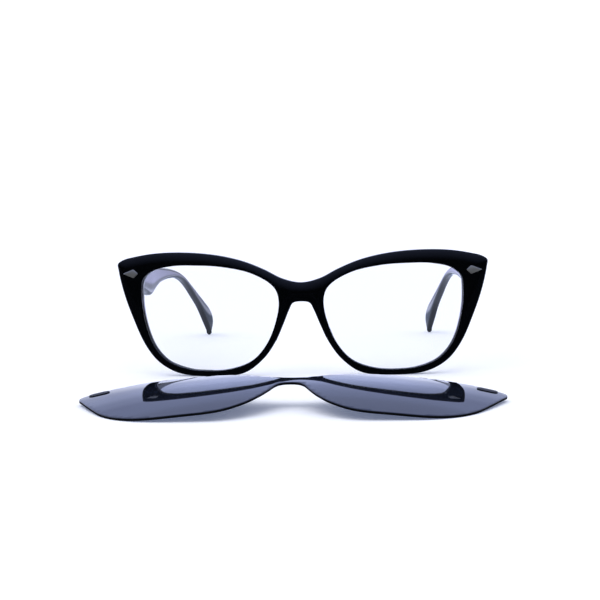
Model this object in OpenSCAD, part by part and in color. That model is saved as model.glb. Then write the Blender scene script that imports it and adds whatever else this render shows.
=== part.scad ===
// Cat eye eyeglasses with a magnetic clip-on shade lying in front of them.
// X runs to the right as the front is seen, Y from the viewer to the temple tips, Z up.
// The origin is on the table, under the middle of the whole set. Left and right are as seen from the front.

/* [Front] */
// Width of one lens opening
lens_w = 52.5; // [46:0.5:58]
// Height of one lens opening
lens_h = 40; // [34:0.5:46]
// Width of the front between the two lens openings
bridge_w = 17; // [14:0.5:21]
// Width of the front outside each lens opening
end_w = 9.5; // [8.5:0.5:12]
// Height of the rim below a lens opening
rim_low = 2.2; // [1.8:0.1:4]
// Height of the brow above a lens opening
brow_h = 4.9; // [4:0.1:8]
// Thickness of the front
front_t = 4; // [3.6:0.1:5]
// Radius that the front is curved to, seen from above
wrap_r = 365; // [250:5:600]

/* [Lenses] */
// Thickness of a lens at its edge
lens_t = 1.5; // [1.2:0.1:1.8]
// Depth of the groove that holds a lens
groove_d = 0.7; // [0.5:0.1:1]
// Clearance of a lens in its groove
lens_clear = 0.05; // [0.03:0.01:0.1]

/* [Nose pads] */
// How far a nose pad stands out behind the front
pad_depth = 3.6; // [3:0.2:7]
// Length of a nose pad
pad_l = 10; // [9:0.5:13]
// Thickness of a nose pad
pad_t = 2.4; // [2.2:0.1:3.2]

/* [Temples] */
// Length of a temple from its joint with the front to its tip
temple_l = 138; // [125:1:150]
// Thickness of a temple
temple_t = 3.4; // [3.2:0.1:4]
// Thickness of a temple at its tip
tip_t = 2.8; // [2.6:0.1:3.2]
// Radius that a temple is bowed inwards to, seen from above
bow_r = 610; // [500:10:1200]
// Gap between a temple's end and the front
joint_gap = 0.3; // [0.2:0.05:0.5]
// How far a temple's outer face lies inside the front's widest point
temple_inset = 2; // [1.6:0.1:3]
// Thickness of the wire core
core_t = 1.2; // [1:0.1:1.4]

/* [Hinges] */
// Radius of the hinge barrel
barrel_r = 1.4; // [1.2:0.1:1.6]
// Height of one knuckle
knuckle_h = 1.3; // [1:0.1:1.5]
// Gap between two knuckles
knuckle_gap = 0.1; // [0.05:0.01:0.15]
// Radius of the hinge screw
screw_r = 0.7; // [0.5:0.05:0.8]
// Radius of the screw's head
head_r = 1.2; // [1.1:0.05:1.4]
// Running clearance of the temple's knuckles round the screw
pin_clear = 0.04; // [0.02:0.01:0.08]
// Thickness of a hinge leaf
leaf_t = 0.8; // [0.6:0.1:1]
// Height of a hinge leaf
leaf_h = 6.2; // [5:0.1:7]
// Length of the leaf on the temple
leaf_l = 11; // [8:0.5:14]
// Gap between the barrel and the front
barrel_gap = 0.3; // [0.2:0.05:0.6]

/* [Rivets] */
// Length of a kite shaped rivet
rivet_l = 6.1; // [5:0.1:7]
// Height of a kite shaped rivet
rivet_h = 3.4; // [2.8:0.1:4]
// How far a rivet stands out of the front
rivet_rise = 0.4; // [0.2:0.1:0.8]
// Radius of the magnet under a rivet
magnet_r = 1.1; // [0.9:0.1:1.3]
// Thickness of every magnet
magnet_t = 1.2; // [0.8:0.1:1.6]

/* [Clip] */
// Thickness of the tinted sheet
clip_t = 0.9; // [0.8:0.1:1.8]
// Radius that the sheet is domed to
clip_r = 360; // [300:5:600]
// How far the clip lies in front of the glasses, middle to front face
clip_away = 80.1; // [65:0.1:110]
// Angle by which the clip's brow edge is lifted off the table
clip_tilt = 7.4; // [4:0.1:9]
// How far the clip lies to the right of the glasses' middle
clip_side = 0.2; // [-5:0.1:5]
// Angle by which the clip is turned on the table
clip_turn = 0.4; // [-5:0.1:5]
// Length of a magnet insert
insert_l = 7.2; // [6.4:0.2:8]
// Width of a magnet insert
insert_w = 3.7; // [3.3:0.1:4.2]
// How far an insert stands out of the sheet's face
insert_rise = 0.3; // [0.3:0.1:0.8]
// How far an insert stands out behind the sheet
insert_back = 1; // [0.8:0.1:1.5]

/* [Hidden] */

left = -1;
right = 1;
fit = 0.02;
far = 200;
round_fn = 48;
shell_fn = 720;
curve_steps = 4;

acetate = [0.03, 0.035, 0.06];
clear_lens = [0.86, 0.9, 0.94, 0.35];
steel = [0.62, 0.63, 0.64];
tinted = [0.38, 0.41, 0.52, 0.9];
black_nylon = [0.06, 0.06, 0.07];
magnet_grey = [0.5, 0.5, 0.52];

// The outlines below are drawn in millimetres for a 52.5 by 40 opening and a 17 bridge.
// Each pair is a drawn place and the real one, and places between them are stretched evenly.
across = [[0, 0], [8.5, bridge_w / 2], [61, bridge_w / 2 + lens_w],
    [70.5, bridge_w / 2 + lens_w + end_w], [80, bridge_w / 2 + lens_w + end_w + 9.5]];
upward = [[0, 0], [2.2, rim_low], [42.2, rim_low + lens_h], [47.1, rim_low + lens_h + brow_h]];
function place(p) = [lookup(p[0], across), lookup(p[1], upward)];

// The front from the middle of the nose arch, along the lower edge, up the side and back along the brow
front_half = [[0, 28.3], [3.2, 27.7], [4.5, 25.5], [6.8, 20], [9.9, 13.3], [14.7, 6.6], [22, 1.3],
    [34.5, 0], [47.5, 1.2], [55, 5.3], [60, 11.5], [65, 22.5], [68.3, 32], [70.2, 40.5], [70.4, 42.8],
    [68.6, 44.2], [64, 45.5], [56, 46.8], [44, 47.1], [32, 46], [22, 43.7], [14, 40.5], [7, 37], [0, 35.5]];
// The right lens opening, anticlockwise from its outer side
opening = [[61, 32.5], [60.3, 37], [57, 40], [49, 42], [40, 42.2], [30, 41.6], [18, 38.8], [10, 33.5],
    [8.5, 29], [9.8, 20.5], [13.5, 12], [19, 6], [27, 2.9], [36, 2.2], [44, 3], [51.5, 6], [56.5, 11.5],
    [60, 21.5]];
// The clip follows the front, with lower and rounder outer corners
clip_half = [[0, 28.6], [3, 27.8], [4.6, 25.8], [6.7, 20.3], [9.8, 13.6], [14.5, 6.8], [21.7, 1.5],
    [34, 0], [46.9, 1], [54.8, 4.9], [60.4, 10.9], [65.8, 20.8], [69.7, 29.5], [72.1, 35.7], [71.8, 38.2],
    [68.8, 40.7], [63.5, 43.4], [55.3, 45.9], [43.5, 47], [31.6, 46], [21.7, 43.7], [13.8, 40.5], [6.9, 37],
    [0, 35.5]];
// A temple from the side: distance behind its joint, and height
temple_side = [[-9, 34.6], [2, 34], [13, 32.8], [23, 31], [33, 28.8], [40, 27.1], [44, 27.5], [50, 29],
    [57, 30.4], [65, 31.1], [75, 31.2], [86, 30.5], [96, 28.4], [104.5, 24.7], [113.5, 19.3], [122, 13.6],
    [129, 7.2], [133, 3.1], [134.5, 1.1], [135.3, 0], [136, 0.9], [136.9, 3], [137.7, 5.9], [136.8, 9.2],
    [133.5, 12.4], [127, 16.2], [118, 20.9], [108, 25.9], [99, 30], [90, 32.8], [78, 35], [60, 37],
    [40, 39], [20, 41], [2, 42.4], [-9, 43.2]];
backward = [[-10, -10], [0, 0], [138, temple_l], [148, temple_l + 10]];
function place_back(p) = [lookup(p[0], backward), lookup(p[1], upward)];

// A smooth closed curve through points, in equal steps between each pair
function heading(p, i) = let (n = len(p), a = p[(i + n - 1) % n], b = p[i], c = p[(i + 1) % n])
    ((b - a) / norm(b - a) + (c - b) / norm(c - b)) / 2;
function smooth(p, steps = curve_steps) = [for (i = [0:len(p) - 1])
    let (b = p[i], c = p[(i + 1) % len(p)], d = norm(c - b), u = heading(p, i), v = heading(p, (i + 1) % len(p)))
    for (k = [0:steps - 1]) let (t = k / steps, s = 1 - t)
    (1 + 2 * t) * s * s * b + t * s * s * d * u + t * t * (1 + 2 * s) * c - t * t * s * d * v];
// A closed anticlockwise curve moved outwards by d
function grow(p, d) = [for (i = [0:len(p) - 1])
    let (u = p[(i + 1) % len(p)] - p[(i + len(p) - 1) % len(p)]) p[i] + d * [u[1], -u[0]] / norm(u)];
function mirrored(p) = [for (i = [len(p) - 2:-1:1]) [-p[i][0], p[i][1]]];
function whole(half) = let (p = [for (q = half) place(q)]) smooth(concat(p, mirrored(p)));

front_outline = whole(front_half);
clip_outline = whole(clip_half);
lens_opening = smooth([for (p = opening) place(p)]);

half_w = bridge_w / 2 + lens_w + end_w;
front_h = rim_low + lens_h + brow_h;

// How far a face at a given depth of the curved front lies behind the front's middle
function depth_at(x, deep) = wrap_r - sqrt(pow(wrap_r - deep, 2) - x * x);

// The temple's shell and the hinge axis
hinge_up = 38.4;
temple_x = half_w - temple_inset - temple_t;
pin_x = temple_x - barrel_r - leaf_t;
pin_y = depth_at(pin_x, front_t) + barrel_gap + barrel_r;
hinge_z = place([0, hinge_up])[1];
joint_y = depth_at(temple_x + temple_t / 2, front_t) + joint_gap;
knuckles = 5;
barrel_h = knuckles * knuckle_h + (knuckles - 1) * knuckle_gap;

rivet_at = place([64.6, 39.2]);
insert_at = place([65.6, 38.6]);
insert_turn = -12;

// A face of the domed clip at a given depth, behind the middle of its front face
clip_mid = front_h / 2;
function dome_at(x, z, deep) = clip_r - sqrt(pow(clip_r - deep, 2) - x * x - pow(z - clip_mid, 2));
// The clip lies on its lowest point: this is how high its middle has to be
function clip_y(x, z, deep) = (z - clip_mid) * cos(clip_tilt) + dome_at(x, z, deep) * sin(clip_tilt);
function clip_z(x, z, deep) = (z - clip_mid) * sin(clip_tilt) - dome_at(x, z, deep) * cos(clip_tilt);
clip_lowest = min([for (p = clip_outline) clip_z(p[0], p[1], clip_t)]);
insert_lowest = clip_z(insert_at[0] + insert_l / 2, insert_at[1] - insert_w / 2, clip_t + insert_back);
clip_rise = -min(clip_lowest, insert_lowest);

// The middle of the set, from the clip's near edge to the temple tips
near_end = min([for (p = clip_outline) p[0] * sin(clip_turn) + clip_y(p[0], p[1], 0) * cos(clip_turn)])
    - clip_away;
far_end = joint_y + max([for (p = smooth([for (q = temple_side) place_back(q)])) p[0]]);
front_y = -(near_end + far_end) / 2;

// Everything standing is drawn with the front's middle at y = 0 and then moved here
module standing() translate([0, front_y, 0]) children();
module on_side(side) standing() mirror([side == left ? 1 : 0, 0, 0]) children();

// An outline drawn on the front, cut out of the curved sheet between two depths
module curved_slab(outline, near, deep)
    intersection() {
        translate([0, far, 0]) rotate([90, 0, 0]) linear_extrude(2 * far) polygon(outline);
        translate([0, wrap_r, -far]) difference() {
            cylinder(r = wrap_r - near, h = 2 * far, $fn = shell_fn);
            translate([0, 0, -1]) cylinder(r = wrap_r - deep, h = 2 * far + 2, $fn = shell_fn);
        }
    }

// A frame of reference on the curved face: x along it, y into it
module on_face(p, deep = 0)
    translate([p[0], depth_at(p[0], deep), p[1]]) rotate([0, 0, asin(p[0] / (wrap_r - deep))]) children();

// A pin along y, from y0 to y1
module pin_in(r, y0, y1) translate([0, y1, 0]) rotate([90, 0, 0]) cylinder(r = r, h = y1 - y0, $fn = round_fn);

rivet_seat = 0.4;
pocket_t = lens_t + 2 * lens_clear;
// A lens sits a little nearer to the face than to the back
lens_forward = 0.3;
groove_near = (front_t - pocket_t) / 2 - lens_forward;

// A kite from its blunt end at -blunt to its long point, both as shares of its length, widest at -waist
blunt = 0.4;
waist = 0.1;
rivet_taper = 0.82;
kite = [[rivet_l * (1 - blunt), 0], [-rivet_l * waist, rivet_h / 2], [-rivet_l * blunt, 0],
    [-rivet_l * waist, -rivet_h / 2]];
module kite_plate(y0, y1, clearance = 0)
    translate([0, y1, 0]) rotate([90, 0, 0]) linear_extrude(y1 - y0) polygon(grow(kite, clearance));

module magnet_seat(clearance) pin_in(magnet_r + clearance, rivet_seat, rivet_seat + magnet_t + clearance);

module front() color(acetate) standing() difference() {
    curved_slab(front_outline, 0, front_t);
    for (side = [left, right]) mirror([side == left ? 1 : 0, 0, 0]) {
        translate([0, far, 0]) rotate([90, 0, 0]) linear_extrude(2 * far) polygon(lens_opening);
        curved_slab(grow(lens_opening, groove_d), groove_near, groove_near + pocket_t);
        on_face(rivet_at) {
            kite_plate(-1, rivet_seat, fit);
            magnet_seat(fit);
        }
        hinge_front_plate(fit);
    }
}

module lens(side) color(clear_lens) on_side(side)
    curved_slab(grow(lens_opening, groove_d - lens_clear), groove_near + lens_clear, groove_near + lens_clear + lens_t);

module rivet(side) color(steel) on_side(side) on_face(rivet_at) {
    kite_plate(0, rivet_seat);
    hull() {
        kite_plate(-rivet_rise / 2, 0);
        scale([rivet_taper, 1, rivet_taper]) kite_plate(-rivet_rise, 0);
    }
}

module rivet_magnet(side) color(magnet_grey) on_side(side) on_face(rivet_at) magnet_seat(0);

// A pad is a bar with round ends and a domed back that leans outwards, cut to the curved back of the front
pad_at = place([9.3, 17.5]);
pad_lean = 22;
pad_dome = (pow(pad_l / 2, 2) + pow(pad_depth, 2)) / (2 * pad_depth);
module nose_pad(side) color(acetate) on_side(side) intersection() {
    translate([pad_at[0], depth_at(pad_at[0], front_t), pad_at[1]]) rotate([0, -pad_lean, 0]) intersection() {
        translate([0, pad_depth + 1, 0]) rotate([90, 90, 0]) linear_extrude(pad_depth + 2) stadium(pad_l, pad_t);
        translate([-pad_t, pad_depth - pad_dome, 0]) rotate([0, 90, 0])
            cylinder(r = pad_dome, h = 2 * pad_t, $fn = round_fn);
    }
    translate([0, wrap_r, 0]) cylinder(r = wrap_r - front_t, h = far, $fn = shell_fn);
}

// Knuckles counted upwards from 0: the front leaf has the even ones, the temple leaf the odd ones
module knuckle(i, clearance) translate([0, 0, i * (knuckle_h + knuckle_gap) - barrel_h / 2]) difference() {
    cylinder(r = barrel_r, h = knuckle_h, $fn = round_fn);
    translate([0, 0, -1]) cylinder(r = screw_r + clearance, h = knuckle_h + 2, $fn = round_fn);
}
module neck(i, size, at, clearance)
    translate([0, 0, i * (knuckle_h + knuckle_gap) - barrel_h / 2]) difference() {
        translate([at[0], at[1], 0]) cube([size[0], size[1], knuckle_h]);
        translate([0, 0, -1]) cylinder(r = screw_r + clearance, h = knuckle_h + 2, $fn = round_fn);
    }

module at_pin() translate([pin_x, pin_y, hinge_z]) children();

// The leaf on the front is sunk in its back, square to the curved face. It reaches from plate_in inside
// the hinge axis to plate_out outside it, and stands leaf_proud out of the back.
stud_r = 0.6;
stud_l = 1.4;
stud_in = 0.3;
stud_up = 1.75;
plate_in = 1.8;
plate_out = 1.2;
leaf_proud = 0.15;
neck_w = 1.6;
plate_h = max(leaf_h, barrel_h);
plate_y = barrel_r + barrel_gap;
module hinge_front_plate(clearance = 0)
    at_pin() rotate([0, 0, asin(pin_x / (wrap_r - front_t))]) {
        translate([-plate_in - clearance, -plate_y - leaf_t + leaf_proud - clearance, -plate_h / 2 - clearance])
            cube([plate_in + plate_out + 2 * clearance, leaf_t + (clearance > 0 ? 1 : 0), plate_h + 2 * clearance]);
        for (end = [-1, 1])
            translate([-stud_in, 0, end * stud_up])
                pin_in(stud_r + clearance, -plate_y - stud_l - clearance, -plate_y);
    }
module hinge_front_leaf(side) color(steel) on_side(side) {
    hinge_front_plate();
    at_pin() rotate([0, 0, asin(pin_x / (wrap_r - front_t))]) for (i = [0, 2, 4]) {
        knuckle(i, fit);
        neck(i, [neck_w * barrel_r, plate_y], [-neck_w * barrel_r / 2, -plate_y], fit);
    }
}

// The leaf on the temple is sunk in its inner face
leaf_sunk = 0.5;
leaf_start = 0.28;
module hinge_temple_plate(clearance = 0)
    at_pin() translate([temple_x - pin_x - leaf_t + leaf_sunk - clearance, leaf_start - clearance,
        -leaf_h / 2 - clearance]) cube([leaf_t + 2 * clearance, leaf_l + 2 * clearance, leaf_h + 2 * clearance]);
module hinge_temple_leaf(side) color(steel) on_side(side) {
    hinge_temple_plate();
    at_pin() for (i = [1, 3]) {
        knuckle(i, pin_clear);
        neck(i, [temple_x - pin_x - leaf_t + leaf_sunk, neck_w * barrel_r / 2], [0, 0], pin_clear);
    }
}

screw_head_h = 0.8;
slot_w = 0.3;
module hinge_screw(side) color(steel) on_side(side) at_pin() difference() {
    union() {
        translate([0, 0, -barrel_h / 2]) cylinder(r = screw_r, h = barrel_h, $fn = round_fn);
        translate([0, 0, barrel_h / 2]) cylinder(r = head_r, h = screw_head_h, $fn = round_fn);
    }
    translate([-head_r - 1, -slot_w / 2, barrel_h / 2 + screw_head_h / 2])
        cube([2 * head_r + 2, slot_w, screw_head_h]);
}

// A side view of the temple, cut out of a sheet that is bowed inwards behind the hinge.
// near and deep are measured from the inner face, and far_r is the radius of the outer cut.
module bowed_slab(outline, near, deep, far_r) intersection() {
    translate([0, joint_y, 0]) rotate([90, 0, 90]) linear_extrude(far) polygon(outline);
    difference() {
        translate([temple_x + deep - far_r, joint_y, -far]) cylinder(r = far_r, h = 2 * far, $fn = 2 * shell_fn);
        translate([temple_x - bow_r, joint_y, -far - 1])
            cylinder(r = bow_r + near, h = 2 * far + 2, $fn = 2 * shell_fn);
    }
}

temple_outline = smooth([for (p = temple_side) place_back(p)]);
// The outer face is bowed a little more than the inner one, so that the temple thins to its tip
bow_in = bow_r - sqrt(bow_r * bow_r - temple_l * temple_l) + temple_t - tip_t;
outer_r = (temple_l * temple_l + bow_in * bow_in) / (2 * bow_in);

// The wire core starts just behind the leaf and lies in the middle of the temple's height
core_gap = 0.15;
core_off = leaf_sunk + core_gap;
core_line = [for (p = [[9, 37.4], [40, 34.2], [70, 33.6], [88, 31.9], [100, 28.1], [114, 20.9], [125, 14.2]])
    place_back(p)];
function band(line, w) = concat([for (p = line) p - [0, w / 2]],
    [for (i = [len(line) - 1:-1:0]) line[i] + [0, w / 2]]);
module core(clearance)
    bowed_slab(grow(band(core_line, core_t), clearance), core_off - clearance, core_off + core_t + clearance,
        bow_r + core_off + core_t + clearance);

module temple(side) color(acetate) on_side(side) difference() {
    intersection() {
        bowed_slab(temple_outline, 0, temple_t, outer_r);
        translate([0, wrap_r, 0]) cylinder(r = wrap_r - front_t - joint_gap, h = far, $fn = shell_fn);
    }
    hinge_temple_plate(fit);
    core(fit);
}
module temple_core(side) color(steel) on_side(side) core(0);

// The clip lies on its back, brow edge away from the glasses' viewer
module lying() translate([clip_side, front_y - clip_away, clip_rise]) rotate([clip_tilt - 90, 0, clip_turn])
    translate([0, 0, -clip_mid]) children();
module lying_side(side) lying() mirror([side == left ? 1 : 0, 0, 0]) children();

module stadium(l, w) union() {
    square([l - w, w], center = true);
    for (end = [-1, 1]) translate([end * (l - w) / 2, 0]) circle(d = w, $fn = round_fn);
}
module on_dome(p) translate([p[0], dome_at(p[0], p[1], 0), p[1]])
    rotate([-asin((p[1] - clip_mid) / clip_r), 0, asin(p[0] / clip_r)]) children();
module domed_slab(outline, near, deep) intersection() {
    translate([0, far, 0]) rotate([90, 0, 0]) linear_extrude(2 * far) polygon(outline);
    translate([0, clip_r, clip_mid]) difference() {
        sphere(r = clip_r - near, $fn = shell_fn / 2);
        sphere(r = clip_r - deep, $fn = shell_fn / 2);
    }
}
module insert_body(y0, y1, less) on_dome(insert_at) rotate([0, -insert_turn, 0]) translate([0, y1, 0])
    rotate([90, 0, 0]) linear_extrude(y1 - y0) stadium(insert_l - 2 * less, insert_w - 2 * less);

insert_lip = 0.35;
magnet_off = 0.6;
module clip_shade() color(tinted) lying() difference() {
    domed_slab(clip_outline, 0, clip_t);
    for (side = [left, right]) mirror([side == left ? 1 : 0, 0, 0])
        insert_body(-1, clip_t + 1, insert_lip - fit);
}
module clip_insert(side) color(black_nylon) lying_side(side) difference() {
    union() {
        insert_body(-insert_rise, -fit, 0);
        insert_body(-2 * fit, clip_t + insert_back, insert_lip);
    }
    clip_magnet_body(fit, 1);
}
module clip_magnet_body(clearance, past) on_dome(insert_at)
    translate([-magnet_off, 0, 0]) pin_in(magnet_r + clearance, clip_t + insert_back - magnet_t - clearance,
        clip_t + insert_back + past);
module clip_magnet(side) color(magnet_grey) lying_side(side) clip_magnet_body(0, 0);

front();
lens(left);  // lens_left
lens(right);  // lens_right
rivet(left);  // rivet_left
rivet(right);  // rivet_right
rivet_magnet(left);  // rivet_magnet_left
rivet_magnet(right);  // rivet_magnet_right
nose_pad(left);  // nose_pad_left
nose_pad(right);  // nose_pad_right
hinge_front_leaf(left);  // hinge_front_leaf_left
hinge_front_leaf(right);  // hinge_front_leaf_right
hinge_screw(left);  // hinge_screw_left
hinge_screw(right);  // hinge_screw_right
hinge_temple_leaf(left);  // hinge_temple_leaf_left
hinge_temple_leaf(right);  // hinge_temple_leaf_right
temple(left);  // temple_left
temple(right);  // temple_right
temple_core(left);  // temple_core_left
temple_core(right);  // temple_core_right
clip_shade();
clip_insert(left);  // clip_insert_left
clip_insert(right);  // clip_insert_right
clip_magnet(left);  // clip_magnet_left
clip_magnet(right);  // clip_magnet_right
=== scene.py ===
# %% [markdown]
# # A cat eye eyeglass frame and its clip-on shade
# The frame stands open on its rims and temple tips, and the clip lies on its back in front of it.
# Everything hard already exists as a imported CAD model. This lesson dresses it: it keeps the parts whose
# shape is right, replaces the milled, polished and thermoformed ones with finer meshes, and gives every
# part the finish of its real material. Lengths are in millimetres until a piece is put in its place.

# %% Load the frame
import math

import bpy
import numpy as np
from mathutils import Matrix, Vector


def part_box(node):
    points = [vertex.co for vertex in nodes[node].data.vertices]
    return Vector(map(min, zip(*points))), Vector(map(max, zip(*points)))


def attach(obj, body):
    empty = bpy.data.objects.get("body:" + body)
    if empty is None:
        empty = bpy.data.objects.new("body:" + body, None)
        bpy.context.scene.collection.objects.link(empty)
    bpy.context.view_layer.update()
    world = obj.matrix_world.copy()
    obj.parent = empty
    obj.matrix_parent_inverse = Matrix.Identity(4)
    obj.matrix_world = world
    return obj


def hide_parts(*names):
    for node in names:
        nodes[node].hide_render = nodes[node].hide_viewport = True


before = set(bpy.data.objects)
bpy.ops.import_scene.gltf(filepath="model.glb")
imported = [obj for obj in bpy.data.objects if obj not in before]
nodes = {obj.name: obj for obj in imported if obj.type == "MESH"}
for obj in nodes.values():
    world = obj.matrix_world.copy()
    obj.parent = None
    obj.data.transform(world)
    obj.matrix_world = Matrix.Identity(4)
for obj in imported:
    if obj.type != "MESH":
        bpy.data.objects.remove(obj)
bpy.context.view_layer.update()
MM = 0.001

# %% [markdown]
# ## The camera
# A product camera with a long lens stands a little over half a metre away, just above table height.
# Its place and turn come from matching the rims, the temple tips and the clip to one another.
# A camera looks along its own -Z, so its axes are written as the columns of a rotation.

# %% Camera
CAMERA_AT = Vector((33.81, -630.47, 84.3)) * MM
CAMERA_LOOKS = Vector((-0.0559, 0.9943, -0.0905)).normalized()
CAMERA_ROLL = math.radians(-0.97)
CAMERA_LENS = 97.68

level_right = CAMERA_LOOKS.cross(Vector((0, 0, 1))).normalized()
level_up = level_right.cross(CAMERA_LOOKS)
right = level_right * math.cos(CAMERA_ROLL) + level_up * math.sin(CAMERA_ROLL)
up = level_up * math.cos(CAMERA_ROLL) - level_right * math.sin(CAMERA_ROLL)
turn = Matrix((right, up, -CAMERA_LOOKS)).transposed().to_4x4()

bpy.ops.object.camera_add()
camera = bpy.context.object
camera.matrix_world = Matrix.Translation(CAMERA_AT) @ turn
camera.data.lens = CAMERA_LENS
camera.data.sensor_width = 36
camera.data.clip_start = 0.01
camera.data.clip_end = 20
bpy.context.scene.camera = camera
bpy.context.scene.view_settings.view_transform = "Standard"
print("camera at", [round(c, 4) for c in camera.location])


# %% [markdown]
# ## Small helpers
# Colours are written as the hex values that a screen shows, and one function turns them linear, which
# is what a shader works in. Another adds a node with its settings and its links in one go. The last two
# put together what several finishes share: marks of a real size, and a colour that follows a value.

# %% Colour and node helpers
# A Mix node's number and colour sockets share their names, so the colour ones are picked by their place.
COLOUR_A, COLOUR_B, COLOUR_OUT = 6, 7, 2


def linear(hex_colour):
    """A #rrggbb screen colour as the linear red, green, blue and alpha that a shader takes."""
    parts = [int(hex_colour[i:i + 2], 16) / 255 for i in (1, 3, 5)]
    return [p / 12.92 if p <= 0.04045 else ((p + 0.055) / 1.055) ** 2.4 for p in parts] + [1]


def add_node(tree, kind, inputs=None, **settings):
    """A node of that kind, with its settings, and each input given a value or a link."""
    made = tree.nodes.new(kind)
    for key, value in settings.items():
        setattr(made, key, value)
    for key, value in (inputs or {}).items():
        if isinstance(value, bpy.types.NodeSocket):
            tree.links.new(value, made.inputs[key])
        else:
            made.inputs[key].default_value = value
    return made


def finish_of(name, **inputs):
    """A new material with one Principled shader. Its inputs are written with _ for a space."""
    made = bpy.data.materials.new(name)
    made.use_nodes = True
    tree = made.node_tree
    shader = tree.nodes["Principled BSDF"]
    for key, value in inputs.items():
        shader.inputs[key.replace("_", " ")].default_value = value
    return made, tree, shader


def add_marks(tree, shader, size, detail, stretch=None, roughness=None, between=(0.0, 1.0), relief=None):
    """Marks of a real size in millimetres, on the piece's own coordinates, as a pattern from 0 to 1.

    They vary the roughness from its least to its most, between two values of the pattern, and stand out
    of the surface as a relief with a strength and a height in millimetres.
    """
    at = add_node(tree, "ShaderNodeTexCoord").outputs["Object"]
    if stretch:
        at = add_node(tree, "ShaderNodeMapping", {"Vector": at, "Scale": stretch}).outputs["Vector"]
    noise = add_node(tree, "ShaderNodeTexNoise", {"Vector": at, "Scale": 1 / (size * MM), "Detail": detail})
    pattern = noise.outputs["Fac"]
    if roughness:
        varied = add_node(tree, "ShaderNodeMapRange", {"Value": pattern, "From Min": between[0],
                                                       "From Max": between[1], "To Min": roughness[0],
                                                       "To Max": roughness[1]})
        tree.links.new(varied.outputs["Result"], shader.inputs["Roughness"])
    if relief:
        bump = add_node(tree, "ShaderNodeBump", {"Height": pattern, "Strength": relief[0],
                                                 "Distance": relief[1] * MM})
        tree.links.new(bump.outputs["Normal"], shader.inputs["Normal"])
    return pattern


def colour_along(tree, value, stops):
    """A colour that follows a value through stops: the value's places and the colour at each."""
    first, last = stops[0][0], stops[-1][0]
    even = add_node(tree, "ShaderNodeMapRange", {"Value": value, "From Min": first, "From Max": last})
    made = add_node(tree, "ShaderNodeValToRGB", {"Fac": even.outputs["Result"]})
    made.color_ramp.interpolation = "EASE"
    while len(made.color_ramp.elements) < len(stops):
        made.color_ramp.elements.new(0.5)
    for element, (at, colour) in zip(made.color_ramp.elements, stops):
        element.position = (at - first) / (last - first)
        element.color = (*colour, 1)
    return made.outputs["Color"]


# %% [markdown]
# ## Floor, background and light
# The table is a pale matte sheet, and behind it is nothing but white. A glossy black frame shows what
# stands around it, so the surroundings matter more than the lamps: polished surfaces see a pale lilac
# backdrop behind the object, a dim blue ceiling and a dark room behind the camera. A shader can give
# each kind of ray its own answer, which is how a white background costs no extra light.

# %% Which rays see the polished surroundings
def ray_kinds(tree):
    """1 for a ray that a polished surface has sent on, and 1 for one that the camera sees straight on.

    Both stay 1 when the ray has passed through a lens.
    """
    path = add_node(tree, "ShaderNodeLightPath")
    after_gloss = add_node(tree, "ShaderNodeMath", {0: path.outputs["Glossy Depth"], 1: 0.5},
                           operation="GREATER_THAN")
    polished = add_node(tree, "ShaderNodeMath", {0: after_gloss.outputs[0],
                                                 1: path.outputs["Is Diffuse Ray"]},
                        operation="SUBTRACT", use_clamp=True)
    straight = add_node(tree, "ShaderNodeMath", {0: path.outputs["Is Camera Ray"],
                                                 1: path.outputs["Is Transmission Ray"]},
                        operation="MAXIMUM")
    return polished.outputs[0], straight.outputs[0]


# %% Table
# The floor's sizes are in metres. TABLE_LIFT is a little light of its own, so that shadows stay blue and
# the rest turns white. TABLE_PAINTED_REFLECTION is a painted reflection: polished surfaces see the table
# black, and glowing in light and dark bands by the distance in metres behind the origin.
FLOOR_NEAR, FLOOR_FAR, FLOOR_SIDE = -0.17, 3.0, 3.0
TABLE_GRAIN = 1.1
TABLE_LIFT = (0.115, 0.14, 0.225, 1)
TABLE_PAINTED_REFLECTION = [(-0.03, (0, 0, 0)), (0.08, (0.8, 0.9, 1.2)), (0.13, (0.72, 0.8, 1.08)),
               (0.17, (0.42, 0.5, 0.72)), (0.20, (0.42, 0.5, 0.72)), (0.23, (1.4, 1.5, 2.05)),
               (0.27, (1.4, 1.5, 2.05)), (0.31, (0.75, 0.81, 1.1)), (0.35, (0.75, 0.81, 1.1)),
               (0.41, (1.25, 1.3, 2.0))]
bpy.ops.object.select_all(action="DESELECT")
bpy.ops.mesh.primitive_plane_add(size=1, location=(0, 0, 0))
floor = bpy.context.object
floor.name = "table_top"
for vertex in floor.data.vertices:
    vertex.co.x *= 2 * FLOOR_SIDE
    vertex.co.y = FLOOR_NEAR if vertex.co.y < 0 else FLOOR_FAR

table_finish, tree, shader = finish_of("matte_laminate_table", Roughness=0.85)
polished, straight = ray_kinds(tree)
coordinates = add_node(tree, "ShaderNodeTexCoord")
split = add_node(tree, "ShaderNodeSeparateXYZ", {"Vector": coordinates.outputs["Object"]})
# Painted reflection: for rays sent on by a polished surface the table goes black and glows in these bands.
painted_reflection = colour_along(tree, split.outputs["Y"], TABLE_PAINTED_REFLECTION)
colour = add_node(tree, "ShaderNodeMix", {"Factor": polished, COLOUR_A: linear("#f8f9fc"),
                                          COLOUR_B: linear("#000000")}, data_type="RGBA")
glow = add_node(tree, "ShaderNodeMix", {"Factor": polished, COLOUR_A: TABLE_LIFT, COLOUR_B: painted_reflection},
                data_type="RGBA")
lit = add_node(tree, "ShaderNodeMath", {0: straight, 1: polished}, operation="MAXIMUM")
tree.links.new(colour.outputs[COLOUR_OUT], shader.inputs["Base Color"])
tree.links.new(glow.outputs[COLOUR_OUT], shader.inputs["Emission Color"])
tree.links.new(lit.outputs[0], shader.inputs["Emission Strength"])
add_marks(tree, shader, TABLE_GRAIN, detail=2.0, relief=(0.02, 0.2))
floor.data.materials.append(table_finish)

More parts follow.
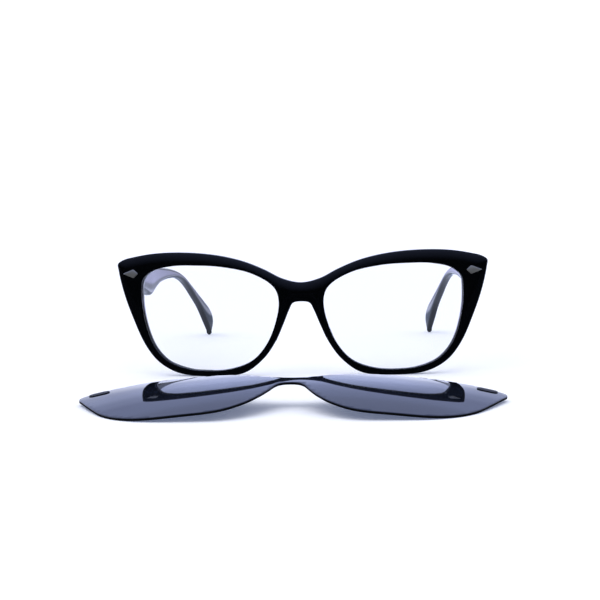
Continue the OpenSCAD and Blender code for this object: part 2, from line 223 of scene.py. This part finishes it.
# %% World
# A place in the world is a part of a ray's direction: across, away or rise, each from -1 to 1. BACKDROP
# is the backdrop's light by the rise. Up to EVEN_FROM it is brighter in the MIDDLE and dimmer at the
# SIDES, and from EVEN_AT it is even. The ceiling grows from black to its full colour at CEILING_FROM. The
# room gives way to the backdrop between ROOM_TO and BACKDROP_FROM, and LEFT_LIGHT lets the backdrop reach
# further round on the left. What isn't seen in the polish gets a soft, even light.
BACKDROP = [(0.0, (0.95, 1.0, 1.28)), (0.20, (0.9, 0.97, 1.3)), (0.26, (0.70, 0.78, 1.15)),
            (0.31, (0.67, 0.76, 1.18)), (0.35, (0.53, 0.61, 0.98)), (0.39, (0.38, 0.44, 0.73)),
            (0.43, (0.35, 0.41, 0.68)), (0.47, (0.31, 0.36, 0.59)), (0.75, (0.25, 0.30, 0.54))]
BRIGHTEST_AT, BRIGHT_TO, DIM_FROM = -0.05, 0.08, 0.2
MIDDLE, SIDES = 1.14, 0.7
EVEN_FROM, EVEN_AT = 0.35, 0.43
CEILING = (0.24, 0.29, 0.52, 1)
CEILING_FROM = 0.75
ROOM_TO, BACKDROP_FROM, LEFT_LIGHT = -0.1, 0.45, -0.2
SOFT_LIGHT, SOFT_STRENGTH = linear("#f7f9ff"), 0.85
WHITE_STRENGTH = 1.09

world = bpy.data.worlds.new("studio")
bpy.context.scene.world = world
world.use_nodes = True
tree = world.node_tree
tree.nodes.clear()
direction = add_node(tree, "ShaderNodeTexCoord")
split = add_node(tree, "ShaderNodeSeparateXYZ", {"Vector": direction.outputs["Generated"]})
across, away, rise = (split.outputs[axis] for axis in "XYZ")

sweep = colour_along(tree, rise, BACKDROP)
off_middle = add_node(tree, "ShaderNodeMath", {0: across, 1: BRIGHTEST_AT}, operation="SUBTRACT")
off_middle = add_node(tree, "ShaderNodeMath", {0: off_middle.outputs[0]}, operation="ABSOLUTE")
falloff = add_node(tree, "ShaderNodeMapRange", {"Value": off_middle.outputs[0], "From Min": BRIGHT_TO,
                                                "From Max": DIM_FROM, "To Min": MIDDLE, "To Max": SIDES},
                   interpolation_type="SMOOTHSTEP")
high_up = add_node(tree, "ShaderNodeMapRange", {"Value": rise, "From Min": EVEN_FROM, "From Max": EVEN_AT})
level = add_node(tree, "ShaderNodeMix", {"Factor": high_up.outputs["Result"], "A": falloff.outputs["Result"],
                                         "B": 1.0}, data_type="FLOAT")
backdrop = add_node(tree, "ShaderNodeVectorMath", {0: sweep, "Scale": level.outputs[0]}, operation="SCALE")

overhead = add_node(tree, "ShaderNodeMapRange", {"Value": rise, "From Min": 0.0, "From Max": CEILING_FROM})
room = add_node(tree, "ShaderNodeMix", {"Factor": overhead.outputs["Result"], COLOUR_A: linear("#000000"),
                                        COLOUR_B: CEILING}, data_type="RGBA")
leftish = add_node(tree, "ShaderNodeMath", {0: across, 1: LEFT_LIGHT, 2: away}, operation="MULTIPLY_ADD")
behind = add_node(tree, "ShaderNodeMapRange", {"Value": leftish.outputs[0], "From Min": ROOM_TO,
                                               "From Max": BACKDROP_FROM}, interpolation_type="SMOOTHSTEP")
mirrored = add_node(tree, "ShaderNodeMix", {"Factor": behind.outputs["Result"],
                                            COLOUR_A: room.outputs[COLOUR_OUT],
                                            COLOUR_B: backdrop.outputs[0]}, data_type="RGBA")

polished, straight = ray_kinds(tree)
soft = add_node(tree, "ShaderNodeBackground", {"Color": SOFT_LIGHT, "Strength": SOFT_STRENGTH})
white = add_node(tree, "ShaderNodeBackground", {"Color": linear("#ffffff"), "Strength": WHITE_STRENGTH})
in_polish = add_node(tree, "ShaderNodeBackground", {"Color": mirrored.outputs[COLOUR_OUT], "Strength": 1.0})
plain = add_node(tree, "ShaderNodeMixShader", {0: straight, 1: soft.outputs[0], 2: white.outputs[0]})
all_rays = add_node(tree, "ShaderNodeMixShader", {0: polished, 1: plain.outputs[0], 2: in_polish.outputs[0]})
add_node(tree, "ShaderNodeOutputWorld", {"Surface": all_rays.outputs[0]})
print("world has", len(tree.nodes), "nodes")

# %% Overhead light
# One broad, even lamp from above, a little to the front and the left. It isn't seen in the polish.
TO_FRONT, TO_LEFT, LAMP_WIDTH = math.radians(20), math.radians(15), math.radians(70)
LAMP_STRENGTH, LAMP_COLOUR = 1.03, (1.0, 0.985, 0.95)
bpy.ops.object.light_add(type="SUN", rotation=(TO_FRONT, -TO_LEFT, 0))
lamp = bpy.context.object
lamp.name = "overhead_light"
lamp.data.energy = LAMP_STRENGTH
lamp.data.color = LAMP_COLOUR
lamp.data.angle = LAMP_WIDTH
lamp.visible_glossy = False

# %% [markdown]
# ## Finishes
# Each finish starts from what the real part is made of and how its surface was made.

# %% Polished black acetate
# Sheet cellulose acetate, milled, tumbled in wood chips and buffed. It is a soft, deep gloss: almost no
# colour of its own, a clear reflection with a touch of haze in patches, and a faint wave that the buffing
# wheel leaves.
BUFFING_WAVE, HAZE_PATCH = 6.0, 11.0
acetate_finish, tree, shader = finish_of("buffed_black_acetate", Base_Color=linear("#030406"), IOR=1.48)
add_marks(tree, shader, HAZE_PATCH, detail=4.0, roughness=(0.04, 0.09), between=(0.3, 0.7))
add_marks(tree, shader, BUFFING_WAVE, detail=1.0, relief=(0.05, 0.1))

# %% Clear display lenses
# Cast acrylic, 1.5 mm thick, with no power. A shadow ray passes straight through, as light does through
# a thin clear sheet.
lens_finish, tree, shader = finish_of("cast_acrylic_lens", Base_Color=linear("#fdfeff"), Roughness=0.0,
                                      IOR=1.49, Transmission_Weight=1.0)
path = add_node(tree, "ShaderNodeLightPath")
open_way = add_node(tree, "ShaderNodeBsdfTransparent", {"Color": linear("#fafbfd")})
mixed = add_node(tree, "ShaderNodeMixShader", {0: path.outputs["Is Shadow Ray"], 1: shader.outputs[0],
                                               2: open_way.outputs[0]})
tree.links.new(mixed.outputs[0], tree.nodes["Material Output"].inputs["Surface"])

# %% Brushed steel, nickel plate and black nylon
# A steel face brushed along the kite, nickel plate that was tumbled before plating, and nylon moulded in
# a spark eroded tool. All three marks are drawn a little coarser than they are, so that they show.
BRUSH_GRIT, TUMBLE_MARK, SPARK_MARK = 0.12, 0.4, 0.3
ALONG_KITE = (0.06, 1, 1)
rivet_finish, tree, shader = finish_of("brushed_stainless_steel", Base_Color=linear("#c2c3c0"),
                                       Metallic=0.87)
add_marks(tree, shader, BRUSH_GRIT, detail=2.0, stretch=ALONG_KITE, roughness=(0.28, 0.5),
          relief=(0.2, 0.02))

nickel_finish, tree, shader = finish_of("tumbled_nickel_plate", Base_Color=linear("#c2beb6"), Metallic=1.0)
add_marks(tree, shader, TUMBLE_MARK, detail=3.0, roughness=(0.18, 0.36), relief=(0.1, 0.02))

nylon_finish, tree, shader = finish_of("moulded_black_nylon", Base_Color=linear("#141519"), IOR=1.53)
add_marks(tree, shader, SPARK_MARK, detail=2.0, roughness=(0.34, 0.52), relief=(0.25, 0.03))

# %% Tinted sheet with a mirror coat
# Tinted cellulose triacetate, laminated, thermoformed to a shallow dome and hard coated. Looked at
# steeply it is dark and lets a little light through, and at a low angle it turns into a mirror.
DYE_CLOUD, MILLING_MARK = 33.0, 0.65
sheet_finish, tree, shader = finish_of("mirror_coated_tinted_triacetate", Roughness=0.03, IOR=1.49,
                                       Transmission_Weight=0.5, Coat_Weight=1.0, Coat_Roughness=0.02,
                                       Coat_IOR=1.6)
cloud = add_marks(tree, shader, DYE_CLOUD, detail=3.0)
tint = add_node(tree, "ShaderNodeMix", {"Factor": cloud, COLOUR_A: linear("#151a28"),
                                        COLOUR_B: linear("#1a2030")}, data_type="RGBA")
tree.links.new(tint.outputs[COLOUR_OUT], shader.inputs["Base Color"])

# The cut edge has no coat, and light has far to go inside the tinted sheet, so it looks black.
edge_finish, tree, shader = finish_of("milled_edge_of_triacetate", Base_Color=linear("#06070b"), IOR=1.49)
add_marks(tree, shader, MILLING_MARK, detail=2.0, roughness=(0.3, 0.5))


# %% [markdown]
# ## How a flat part is cut
# The front, the temples and the clip all start as flat sheet that is cut to a drawn outline, milled,
# rounded at its edges and then bent warm over a form. The meshes are made in the same order. An outline
# is a few round numbers joined by a smooth curve, the same ones that the solid model is drawn from.

# %% Outlines
FRONT_HALF = [(0, 28.3), (3.2, 27.7), (4.5, 25.5), (6.8, 20), (9.9, 13.3), (14.7, 6.6), (22, 1.3), (34.5, 0),
              (47.5, 1.2), (55, 5.3), (60, 11.5), (65, 22.5), (68.3, 32), (70.2, 40.5), (70.4, 42.8),
              (68.6, 44.2), (64, 45.5), (56, 46.8), (44, 47.1), (32, 46), (22, 43.7), (14, 40.5), (7, 37),
              (0, 35.5)]
OPENING = [(61, 32.5), (60.3, 37), (57, 40), (49, 42), (40, 42.2), (30, 41.6), (18, 38.8), (10, 33.5),
           (8.5, 29), (9.8, 20.5), (13.5, 12), (19, 6), (27, 2.9), (36, 2.2), (44, 3), (51.5, 6),
           (56.5, 11.5), (60, 21.5)]
CLIP_HALF = [(0, 28.6), (3, 27.8), (4.6, 25.8), (6.7, 20.3), (9.8, 13.6), (14.5, 6.8), (21.7, 1.5), (34, 0),
             (46.9, 1), (54.8, 4.9), (60.4, 10.9), (65.8, 20.8), (69.7, 29.5), (72.1, 35.7), (71.8, 38.2),
             (68.8, 40.7), (63.5, 43.4), (55.3, 45.9), (43.5, 47), (31.6, 46), (21.7, 43.7), (13.8, 40.5),
             (6.9, 37), (0, 35.5)]
TEMPLE_SIDE = [(-9, 34.6), (2, 34), (13, 32.8), (23, 31), (33, 28.8), (40, 27.1), (44, 27.5), (50, 29),
               (57, 30.4), (65, 31.1), (75, 31.2), (86, 30.5), (96, 28.4), (104.5, 24.7), (113.5, 19.3),
               (122, 13.6), (129, 7.2), (133, 3.1), (134.5, 1.1), (135.3, 0), (136, 0.9), (136.9, 3),
               (137.7, 5.9), (136.8, 9.2), (133.5, 12.4), (127, 16.2), (118, 20.9), (108, 25.9), (99, 30),
               (90, 32.8), (78, 35), (60, 37), (40, 39), (20, 41), (2, 42.4), (-9, 43.2)]


def smooth(points, steps=8):
    """A smooth closed curve through points, in equal steps between each pair."""
    p = [np.array(q, float) for q in points]
    n = len(p)

    def heading(i):
        a, b, c = p[i - 1], p[i], p[(i + 1) % n]
        return ((b - a) / np.linalg.norm(b - a) + (c - b) / np.linalg.norm(c - b)) / 2

    made = []
    for i in range(n):
        b, c = p[i], p[(i + 1) % n]
        d, u, v = np.linalg.norm(c - b), heading(i), heading((i + 1) % n)
        for k in range(steps):
            t = k / steps
            s = 1 - t
            ends = (1 + 2 * t) * s * s * b + t * t * (1 + 2 * s) * c
            made.append(ends + t * s * s * d * u - t * t * s * d * v)
    return np.array(made)


def whole(half):
    """A half outline and its mirror image, as one smooth closed curve."""
    return smooth(list(half) + [(-x, z) for x, z in half[-2:0:-1]])


def grow(points, distance):
    """A closed anticlockwise curve moved outwards."""
    along = np.roll(points, -1, 0) - np.roll(points, 1, 0)
    out = np.stack([along[:, 1], -along[:, 0]], 1)
    return points + distance * out / np.linalg.norm(out, axis=1)[:, None]


def stadium(length, width, steps=12):
    """A bar with round ends, lengthwise along x."""
    turns = np.linspace(-math.pi / 2, math.pi / 2, steps)
    end = np.stack([np.cos(turns), np.sin(turns)], 1) * width / 2 + ((length - width) / 2, 0)
    return np.concatenate([end, -end])


def gap_to(points, curve):
    """How far each point is from a closed curve."""
    best = np.full(len(points), np.inf)
    for start, end in zip(curve, np.roll(curve, -1, 0)):
        d = end - start
        t = np.clip(((points - start) @ d) / (d @ d), 0, 1)
        best = np.minimum(best, np.linalg.norm(points - start - t[:, None] * d, axis=1))
    return best


front_outline, clip_outline = whole(FRONT_HALF), whole(CLIP_HALF)
opening_right = smooth(OPENING)
opening_left = opening_right[::-1] * (-1, 1)
temple_outline = smooth(TEMPLE_SIDE)
print("outline points:", len(front_outline), len(opening_right), len(clip_outline), len(temple_outline))


# %% [markdown]
# ## The workshop
# Every piece goes through the same few moves: cut a blank, round its edges, cut into it with a tool,
# slice it so that it bends smoothly, and put every point where the bent sheet has it.

# %% Workshop
# Points closer than MERGED become one, and a cutting tool runs on PAST the sheet.
MERGED = 0.002
PAST = 1.0


def edit(piece):
    """Opens a piece alone in edit mode with everything selected."""
    bpy.ops.object.select_all(action="DESELECT")
    bpy.context.view_layer.objects.active = piece
    piece.select_set(True)
    bpy.ops.object.mode_set(mode="EDIT")
    bpy.ops.mesh.select_all(action="SELECT")


def done():
    """Goes back to object mode."""
    bpy.ops.object.mode_set(mode="OBJECT")


def blank(name, outline, near, deep):
    """Flat sheet cut to an outline in x and z, between two depths along y, in millimetres."""
    bpy.ops.object.select_all(action="DESELECT")
    bpy.ops.mesh.primitive_circle_add(vertices=len(outline), radius=1)
    piece = bpy.context.object
    piece.name = name
    for vertex, (x, z) in zip(piece.data.vertices, outline):
        vertex.co = (x, near, z)
    edit(piece)
    bpy.ops.mesh.edge_face_add()
    bpy.ops.mesh.extrude_region_move(TRANSFORM_OT_translate={"value": (0, deep - near, 0)})
    bpy.ops.mesh.select_all(action="SELECT")
    bpy.ops.mesh.normals_make_consistent(inside=False)
    done()
    return piece


def modify(piece, kind, **settings):
    """Adds a modifier with its settings and applies it."""
    bpy.ops.object.select_all(action="DESELECT")
    bpy.context.view_layer.objects.active = piece
    piece.select_set(True)
    bpy.ops.object.modifier_add(type=kind)
    modifier = piece.modifiers[-1]
    for key, value in settings.items():
        setattr(modifier, key, value)
    bpy.ops.object.modifier_apply(modifier=modifier.name)


def round_edges(piece, width, segments, sharper_than=60, clamped=True):
    """Rounds the edges that turn by more than an angle."""
    modify(piece, "BEVEL", width=width, segments=segments, limit_method="ANGLE",
           angle_limit=math.radians(sharper_than), use_clamp_overlap=clamped)


def combine(piece, tool, operation="DIFFERENCE"):
    """Takes the tool's shape out of the piece, or adds it with UNION, and puts the tool away."""
    modify(piece, "BOOLEAN", operation=operation, solver="EXACT", object=tool)
    bpy.data.objects.remove(tool)


def slice_up(piece, axis, first, last, step):
    """Slices all faces at even steps along one axis, so that they can follow a bend."""
    edit(piece)
    normal = [0, 0, 0]
    normal[axis] = 1
    for place in np.arange(first, last, step):
        at = [0, 0, 0]
        at[axis] = float(place)
        bpy.ops.mesh.select_all(action="SELECT")
        bpy.ops.mesh.bisect(plane_co=at, plane_no=normal)
    done()


def points_of(piece):
    """A piece's points as rows of x, y and z."""
    flat = np.zeros(len(piece.data.vertices) * 3)
    piece.data.vertices.foreach_get("co", flat)
    return flat.reshape(-1, 3)


def place_points(piece, points, angle=35):
    """Puts the points in place in metres, and shades smoothly up to an angle."""
    piece.data.vertices.foreach_set("co", (points * MM).astype(np.float32).ravel())
    edit(piece)
    bpy.ops.mesh.remove_doubles(threshold=MERGED * MM)
    bpy.ops.mesh.select_all(action="SELECT")
    bpy.ops.mesh.normals_make_consistent(inside=False)
    done()
    bpy.ops.object.shade_smooth_by_angle(angle=math.radians(angle))


def finished(piece, finish, body, slot, *stands_for):
    """Gives a piece its finish, the body it moves with and the CAD nodes that it stands for."""
    piece.data.materials.clear()
    piece.data.materials.append(finish)
    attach(piece, body)
    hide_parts(*stands_for)
    points = points_of(piece) / MM
    print(piece.name, len(piece.data.polygons), "faces, mm", points.min(0).round(2), points.max(0).round(2))


# %% [markdown]
# ## The front
# The front is milled from 4 mm black acetate sheet. Its outer edge is crowned, so the face rolls back a
# little towards the rim's outside, and that soft roll catches the light of the ceiling.

# %% Front
# Each row of FRONT_SLICES is an axis, the first and last place along it and the step between slices.
FRONT_T = 4.0
WRAP_R = 365.0
EDGE_R = 0.5
OPENING_EDGE = 0.18
GROOVE_DEEP, GROOVE_NEAR, GROOVE_WIDE = 0.7, 0.9, 1.6
CROWN_DEEP, CROWN_WIDE, CROWN_SHARE = 0.9, 3.6, 0.85
FRONT_SLICES = ((0, -69.8, 70, 1.2), (2, 0.5, 47, 1.2))
front_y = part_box("front")[0].y / MM


def depth_at(x, deep):
    """How far a face of the wrapped front lies behind the middle of its front face."""
    return WRAP_R - np.sqrt((WRAP_R - deep) ** 2 - x ** 2)


front = blank("front_polished", front_outline, 0, FRONT_T)
round_edges(front, EDGE_R, segments=3, clamped=False)
for opening in (opening_right, opening_left):
    combine(front, blank("opening_tool", opening, -PAST, FRONT_T + PAST))
round_edges(front, OPENING_EDGE, segments=2, clamped=False)
for opening in (opening_right, opening_left):
    combine(front, blank("groove_tool", grow(opening, GROOVE_DEEP), GROOVE_NEAR, GROOVE_NEAR + GROOVE_WIDE))
for slices in FRONT_SLICES:
    slice_up(front, *slices)

x, deep, z = points_of(front).T
flat = np.stack([x, z], 1)
to_edge = gap_to(flat, front_outline)
to_opening = np.minimum(gap_to(flat, opening_right), gap_to(flat, opening_left))
wide = np.minimum(CROWN_WIDE, CROWN_SHARE * (to_edge + to_opening))
crown = CROWN_DEEP * np.clip(1 - to_edge / wide, 0, 1) ** 2
x = x * (1 - deep / WRAP_R)
depth = deep + crown * (1 - deep / FRONT_T)
place_points(front, np.stack([x, front_y + depth_at(x, depth), z], 1))
finished(front, acetate_finish, "glasses_front", "acetate", "front")

# %% [markdown]
# ## The rivets
# A kite is stamped from stainless sheet, its rim is chamfered and its face is brushed lengthwise. The
# chamfer catches the light that the flat face misses.

# %% Rivets
RIVET_AT = (64.6, 39.2)
RIVET_L, RIVET_H, RIVET_RISE, RIVET_SEAT = 6.1, 3.4, 0.4, 0.4
CHAMFER, SOFTENED = 0.26, 0.04
POINT, WIDEST, HEEL = 0.6 * RIVET_L, -0.1 * RIVET_L, -0.4 * RIVET_L
KITE = [(POINT, 0), (WIDEST, RIVET_H / 2), (HEEL, 0), (WIDEST, -RIVET_H / 2)]
on_face = np.array(Matrix.Rotation(math.asin(RIVET_AT[0] / WRAP_R), 3, "Z"))
seat = (RIVET_AT[0], front_y + depth_at(RIVET_AT[0], 0), RIVET_AT[1])

for side, name in ((-1, "left"), (1, "right")):
    rivet = blank("rivet_" + name + "_brushed", KITE, -RIVET_RISE, RIVET_SEAT)
    round_edges(rivet, CHAMFER, segments=1, sharper_than=30)
    round_edges(rivet, SOFTENED, segments=2, sharper_than=20)
    place_points(rivet, (points_of(rivet) @ on_face.T + seat) * (side, 1, 1), angle=15)
    finished(rivet, rivet_finish, "glasses_front", "rivet_steel", "rivet_" + name)

# %% [markdown]
# ## The nose pads
# Two drops of the same acetate are glued to the back and buffed with the front, so they are highest in
# the middle, run out at both ends and have no sharp edge that could touch the skin.

# %% Nose pads
PAD_AT = (9.3, 17.5)
PAD_LEAN = math.radians(22)
PAD_L, PAD_T, PAD_DEEP = 10.0, 2.4, 3.6
PAD_ROUND = 1.0
PAD_SLICES = (0, -4.75, 4.8, 0.5)
pad_r = (PAD_L ** 2 / 4 + PAD_DEEP ** 2) / (2 * PAD_DEEP)

for side, name in ((-1, "left"), (1, "right")):
    pad = blank("nose_pad_" + name + "_buffed", stadium(PAD_L, PAD_T), 0, PAD_DEEP)
    round_edges(pad, PAD_ROUND, segments=6)
    slice_up(pad, *PAD_SLICES)
    long, deep, across = points_of(pad).T
    deep = deep * (np.sqrt(pad_r ** 2 - long ** 2) - pad_r + PAD_DEEP) / PAD_DEEP
    x = PAD_AT[0] - across * math.cos(PAD_LEAN) - long * math.sin(PAD_LEAN)
    z = PAD_AT[1] - across * math.sin(PAD_LEAN) + long * math.cos(PAD_LEAN)
    place_points(pad, np.stack([side * x, front_y + depth_at(x, FRONT_T) + deep, z], 1), angle=50)
    finished(pad, acetate_finish, "glasses_front", "acetate", "nose_pad_" + name)

# %% [markdown]
# ## The temples
# A temple is milled from thinner sheet round a wire core, rounded all along like a worn pebble, and
# bowed inwards. Both faces are bowed, the outer one a little more, so that the tip is thinner.

# %% Temples
TEMPLE_L, TEMPLE_T, TIP_T, BOW_R, INSET = 138.0, 3.4, 2.8, 610.0, 2.0
JOINT_GAP, JOINT_BLEND = 0.3, 15.0
HALF_W = 70.5
TEMPLE_EDGE = 1.15
TEMPLE_STEP = 2.0
TIP_ROUND, TIP_THINNED = 7.0, 0.4
temple_x = HALF_W - INSET - TEMPLE_T
joint_y = depth_at(temple_x + TEMPLE_T / 2, FRONT_T) + JOINT_GAP
bow_in = BOW_R - math.sqrt(BOW_R ** 2 - TEMPLE_L ** 2) + TEMPLE_T - TIP_T
outer_r = (TEMPLE_L ** 2 + bow_in ** 2) / (2 * bow_in)

for side, name in ((-1, "left"), (1, "right")):
    temple = blank("temple_" + name + "_polished", temple_outline, 0, TEMPLE_T)
    # The outline is drawn in x and z. Seen from the side, its x runs backwards.
    for vertex in temple.data.vertices:
        vertex.co.x, vertex.co.y = vertex.co.y, vertex.co.x
    round_edges(temple, TEMPLE_EDGE, segments=5, clamped=False)
    # The outline runs on past the joint, and is sawn off square there.
    edit(temple)
    bpy.ops.mesh.bisect(plane_co=(0, 0, 0), plane_no=(0, 1, 0), clear_inner=True, use_fill=True)
    done()
    slice_up(temple, 1, TEMPLE_STEP, TEMPLE_L, TEMPLE_STEP)

    across, back, height = points_of(temple).T
    inner = temple_x - BOW_R + np.sqrt(BOW_R ** 2 - back ** 2)
    outer = temple_x + TEMPLE_T - outer_r + np.sqrt(outer_r ** 2 - back ** 2)
    tip = np.clip(1 - height / TIP_ROUND, 0, 1) * (back > TEMPLE_L / 2)
    share = 0.5 + (across / TEMPLE_T - 0.5) * (1 - TIP_THINNED * tip ** 2)
    x = inner + share * (outer - inner)
    # The end that meets the front follows its curved back, which fades out along JOINT_BLEND.
    start = depth_at(x, FRONT_T + JOINT_GAP) - joint_y
    y = back + start * np.clip(1 - back / JOINT_BLEND, 0, 1)
    place_points(temple, np.stack([side * x, front_y + joint_y + y, height], 1))
    finished(temple, acetate_finish, name + "_temple", "acetate", "temple_" + name)

# %% [markdown]
# ## The clip-on sheet
# One sheet is thermoformed to a shallow dome, a piece of a sphere whose brow edge rolls off a little
# more. It lies on its back, so the whole dome mirrors the frame and the backdrop: its points are put
# exactly where the formed sheet has them.

# %% Clip
CLIP_T, CLIP_R = 0.9, 360.0
CLIP_AWAY, CLIP_SIDE, CLIP_TILT, CLIP_TURN = 80.1, 0.2, 7.4, 0.4
CLIP_EDGE = 0.2
CLIP_SLICES = ((0, -72, 72.1, 1.8), (2, -23, 23.5, 1.8))
CUT_EDGE = 0.5
FRONT_H = 47.1
MID_H = FRONT_H / 2
BROW_FROM, BROW_TO, BROW_DROP, BROW_POWER = 6.0, 23.5, 0.55, 2.8
laid = np.array(Matrix.Rotation(math.radians(CLIP_TURN), 3, "Z")
                @ Matrix.Rotation(math.radians(CLIP_TILT - 90), 3, "X"))


def formed_depth(x, z, depth=0.0):
    """How far a face of the formed sheet lies behind the dome's top."""
    rolled = BROW_DROP * np.clip((z - BROW_FROM) / (BROW_TO - BROW_FROM), 0, 1) ** BROW_POWER
    return CLIP_R - np.sqrt((CLIP_R - depth) ** 2 - x ** 2 - z ** 2) + rolled


clip = blank("clip_shade_formed", clip_outline - (0, MID_H), 0, CLIP_T)
round_edges(clip, CLIP_EDGE, segments=3, clamped=False)
for slices in CLIP_SLICES:
    slice_up(clip, *slices)
x, depth, z = points_of(clip).T
lying = np.stack([x, formed_depth(x, z, depth), z], 1) @ laid.T
clip_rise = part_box("clip_shade")[0].z / MM - lying[:, 2].min()
clip_at = (CLIP_SIDE, front_y - CLIP_AWAY, clip_rise)
place_points(clip, lying + clip_at)
finished(clip, sheet_finish, "clip_on", "tinted_sheet", "clip_shade")
# A face that looks mostly along the sheet, and not out of it, belongs to the cut edge.
clip.data.materials.append(edge_finish)
into_sheet = Vector(laid[:, 1])
for face in clip.data.polygons:
    face.material_index = int(abs(face.normal.dot(into_sheet)) < CUT_EDGE)

# %% [markdown]
# ## The magnet inserts
# A small nylon bar is pushed through a slot in each corner of the sheet. Its head rests on the face, its
# stem fills the slot, and a round magnet is pressed into the stem from behind.

# %% Inserts
INSERT_AT = (65.6, 38.6)
INSERT_TURN = math.radians(-12)
INSERT_L, INSERT_W, INSERT_RISE, INSERT_BACK, INSERT_LIP = 7.2, 3.7, 0.3, 1.0, 0.35
HEAD_ROUND = 0.14
MAGNET_R, MAGNET_T, MAGNET_OFF, FIT = 1.1, 1.2, 0.6, 0.02
insert_x, insert_z = INSERT_AT[0], INSERT_AT[1] - MID_H
insert_seat = (insert_x, formed_depth(insert_x, insert_z), insert_z)
on_dome = np.array(Matrix.Rotation(math.asin(insert_x / CLIP_R), 3, "Z")
                   @ Matrix.Rotation(-math.asin(insert_z / CLIP_R), 3, "X")
                   @ Matrix.Rotation(-INSERT_TURN, 3, "Y"))
back = CLIP_T + INSERT_BACK
pocket_r = MAGNET_R + FIT
pocket_at = (-MAGNET_OFF * math.cos(INSERT_TURN), -MAGNET_OFF * math.sin(INSERT_TURN))

for side, name in ((-1, "left"), (1, "right")):
    insert = blank("clip_insert_" + name + "_moulded", stadium(INSERT_L, INSERT_W), -INSERT_RISE, -FIT)
    round_edges(insert, HEAD_ROUND, segments=3)
    stem = stadium(INSERT_L - 2 * INSERT_LIP, INSERT_W - 2 * INSERT_LIP)
    combine(insert, blank("stem", stem, -2 * FIT, back), "UNION")
    pocket = stadium(2 * pocket_r, 2 * pocket_r) + pocket_at
    combine(insert, blank("pocket_tool", pocket, back - MAGNET_T - FIT, back + PAST))
    standing = (points_of(insert) @ on_dome.T + insert_seat) * (side, 1, 1)
    place_points(insert, standing @ laid.T + clip_at)
    finished(insert, nylon_finish, "clip_on", "black_nylon", "clip_insert_" + name)

# %% [markdown]
# ## Finishes for the parts that stay as the solid model made them
# The lenses are clear, and the hinges, screws, magnets and wire cores are all plated with nickel.

# %% CAD finishes
CAD_FINISHES = {"lens_left": lens_finish, "lens_right": lens_finish}
for name, node in nodes.items():
    if not node.hide_render:
        for slot in node.material_slots:
            slot.material = CAD_FINISHES.get(name, nickel_finish)
